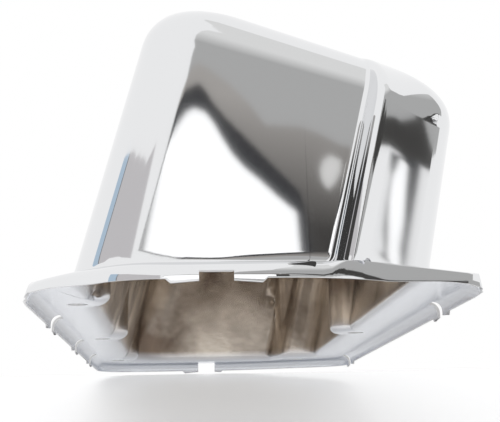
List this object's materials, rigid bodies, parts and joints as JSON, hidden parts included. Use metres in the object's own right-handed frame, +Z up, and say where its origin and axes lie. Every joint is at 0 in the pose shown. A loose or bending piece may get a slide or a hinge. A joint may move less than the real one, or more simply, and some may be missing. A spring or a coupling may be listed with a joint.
{
  "type": "engine valve cover",
  "caption": "Deep pressed-steel valve cover for one bank of a V engine, with a leaning dome, bolt sockets, a flat gasket flange and a notched lip.",
  "frame": {"origin": "middle of the outline's box, on the surface that the lip's tabs stand on", "axes": "+X across the cover, the way its roof falls; +Y along the cover, away from the end with the bulge; +Z up, out of the roof"},
  "size_m": [0.156, 0.449, 0.0983],
  "materials": {
    "chrome_sheet": "mirror chrome outside, warm satin metal inside"
  },
  "bodies": {
    "root": {"valve_cover_shell": "chrome_sheet"}
  },
  "joints": []
}
